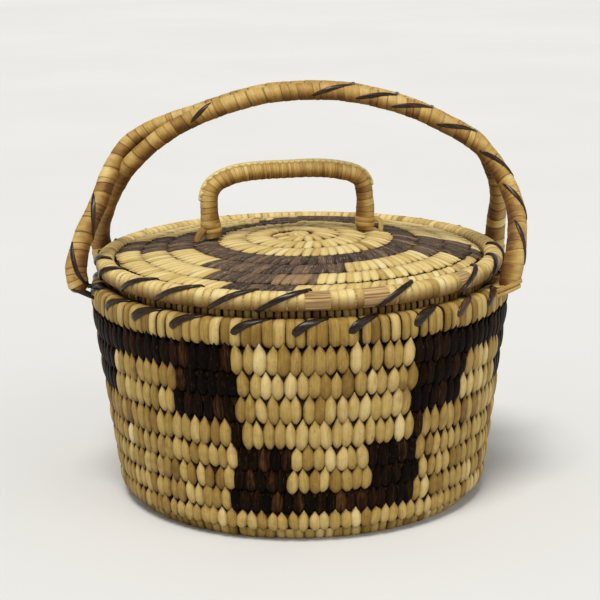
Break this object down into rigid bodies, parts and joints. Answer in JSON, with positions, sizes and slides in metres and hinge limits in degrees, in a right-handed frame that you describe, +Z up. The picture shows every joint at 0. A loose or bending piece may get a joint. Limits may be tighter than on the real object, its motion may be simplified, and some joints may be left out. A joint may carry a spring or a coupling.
{
  "type": "lidded coiled basket",
  "caption": "Round coiled basket with flared wall, laced rim, forked arch carrying handle and a domed lift-off lid with its own small arch handle.",
  "frame": {"origin": "middle of the flat underside of the base, where the basket rests", "axes": "+Z up, -Y towards the front, +X towards the right end of the carrying handle"},
  "size_m": [0.1591, 0.1462, 0.1409],
  "materials": {
    "golden_splint": "satin golden plant splint, fine lengthways grain",
    "pale_splint": "satin pale straw splint, fine lengthways grain",
    "dark_strip": "smooth dark brown outer skin of a split stem"
  },
  "bodies": {
    "basket": {"wall_coil": "golden_splint", "base_coil": "golden_splint", "base_start": "golden_splint", "rim_coil": "pale_splint", "rim_lacing": "dark_strip", "handle_front_strand": "golden_splint", "handle_back_strand": "golden_splint", "handle_lacing_right": "dark_strip", "handle_lacing_left": "dark_strip", "handle_lashing_right_front": "dark_strip", "handle_lashing_right_back": "golden_splint", "handle_lashing_left_back": "golden_splint", "handle_lashing_left_front": "dark_strip"},
    "lid": {"lid_coil": "pale_splint", "lid_start": "pale_splint", "lid_rim_coil": "pale_splint", "lid_lacing": "dark_strip", "lid_flange_coil": "golden_splint", "lid_handle": "pale_splint", "lid_handle_seam": "pale_splint", "lid_handle_lashing_left": "pale_splint", "lid_handle_lashing_right": "pale_splint"}
  },
  "joints": [
    {"name": "lid_lift", "type": "slide", "parent": "basket", "child": "lid", "axis": [0, 0, 1], "range_m": [0, 0.004]}
  ]
}
